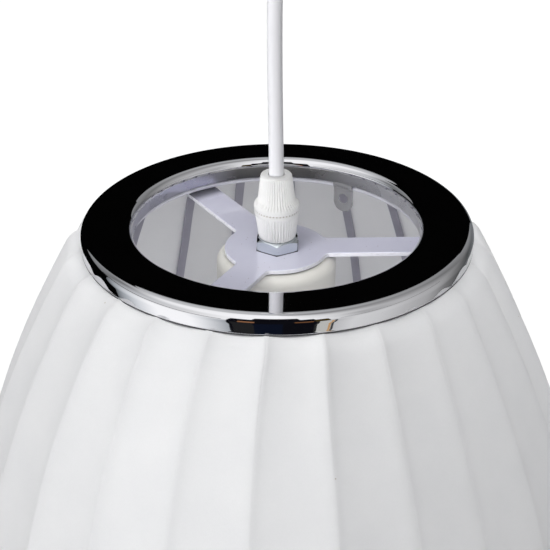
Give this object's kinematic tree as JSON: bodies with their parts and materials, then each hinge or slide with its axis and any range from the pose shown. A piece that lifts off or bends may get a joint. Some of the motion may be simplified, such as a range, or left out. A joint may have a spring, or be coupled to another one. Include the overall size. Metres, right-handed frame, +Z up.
{
  "type": "pendant lantern",
  "caption": "Ribbed white pendant lantern with a chromed neck ring, carried by a spider and lampholder on a taut cord from a ceiling canopy.",
  "frame": {"origin": "middle of the mounting face against the ceiling, between the two screw slots", "axes": "+Z up towards the ceiling, +X along the bracket, -Y towards the viewer"},
  "size_m": [0.2822, 0.2822, 0.4904],
  "materials": {
    "zinc_steel": "zinc plated, satin",
    "white_metal": "white gloss paint",
    "white_plastic": "moulded, semi-gloss",
    "brass": "machined",
    "cord_sheath": "smooth PVC sheath",
    "brown_core": "smooth",
    "blue_core": "smooth",
    "spider_paint": "semi-gloss powder coat",
    "cream_plastic": "moulded, satin",
    "porcelain": "unglazed porcelain",
    "ring_chrome": "polished mirror",
    "wire_white": "white coated wire",
    "skin": "fine matt translucent sheet",
    "rib_white": "satin strip"
  },
  "bodies": {
    "ceiling": {"ceiling_bracket": "zinc_steel", "canopy": "white_metal", "canopy_screws": "zinc_steel", "ceiling_gland": "white_plastic", "gland_screw": "white_plastic", "ceiling_nut": "zinc_steel", "terminal_block": "white_plastic", "block_screws": "brass", "ceiling_cord_tail": "cord_sheath", "ceiling_core_live": "brown_core", "ceiling_core_neutral": "blue_core"},
    "upper_cord": {"cord_upper": "cord_sheath"},
    "lower_cord": {"cord_lower": "cord_sheath"},
    "lamp": {"grip_body": "white_plastic", "grip_sleeve": "white_plastic", "hex_nut": "zinc_steel", "nipple": "zinc_steel", "spider": "spider_paint", "holder_cap": "cream_plastic", "holder_locknut": "zinc_steel", "holder_insulator": "porcelain", "holder_skirt": "cream_plastic", "screw_shell": "zinc_steel", "holder_screws": "brass", "lamp_cord_tail": "cord_sheath", "lamp_core_live": "brown_core", "lamp_core_neutral": "blue_core"},
    "cap": {"grip_cap": "white_plastic"},
    "contact": {"centre_contact": "brass"},
    "shade": {"neck_ring": "ring_chrome", "collar_hoop": "wire_white", "neck_hoop": "wire_white", "bottom_hoop": "wire_white", "skin": "skin", "rib_01": "rib_white", "rib_02": "rib_white", "rib_03": "rib_white", "rib_04": "rib_white", "rib_05": "rib_white", "rib_06": "rib_white", "rib_07": "rib_white", "rib_08": "rib_white", "rib_09": "rib_white", "rib_10": "rib_white", "rib_11": "rib_white", "rib_12": "rib_white", "rib_13": "rib_white", "rib_14": "rib_white", "rib_15": "rib_white", "rib_16": "rib_white", "rib_17": "rib_white", "rib_18": "rib_white", "rib_19": "rib_white", "rib_20": "rib_white", "rib_21": "rib_white", "rib_22": "rib_white", "rib_23": "rib_white", "rib_24": "rib_white"}
  },
  "joints": [
    {"name": "swing_side", "type": "hinge", "parent": "ceiling", "child": "upper_cord", "pos_m": [0, 0, -0.046], "axis": [0, 1, 0], "range_deg": [-18, 18]},
    {"name": "swing_fore", "type": "hinge", "parent": "upper_cord", "child": "lower_cord", "pos_m": [0, 0, -0.084], "axis": [1, 0, 0], "range_deg": [-18, 18]},
    {"name": "cord_twist", "type": "hinge", "parent": "lower_cord", "child": "lamp", "pos_m": [0, 0, -0.122], "axis": [0, 0, 1], "range_deg": [-180, 180]},
    {"name": "cap_turn", "type": "hinge", "parent": "lamp", "child": "cap", "pos_m": [0, 0, -0.13], "axis": [0, 0, 1], "range_deg": [0, 180]},
    {"name": "contact_press", "type": "slide", "parent": "lamp", "child": "contact", "axis": [0, 0, 1], "range_m": [0, 0.0015], "stiffness_N_per_m": 400},
    {"name": "shade_lift", "type": "slide", "parent": "lamp", "child": "shade", "axis": [0, 0, 1], "range_m": [0, 0.05]}
  ]
}
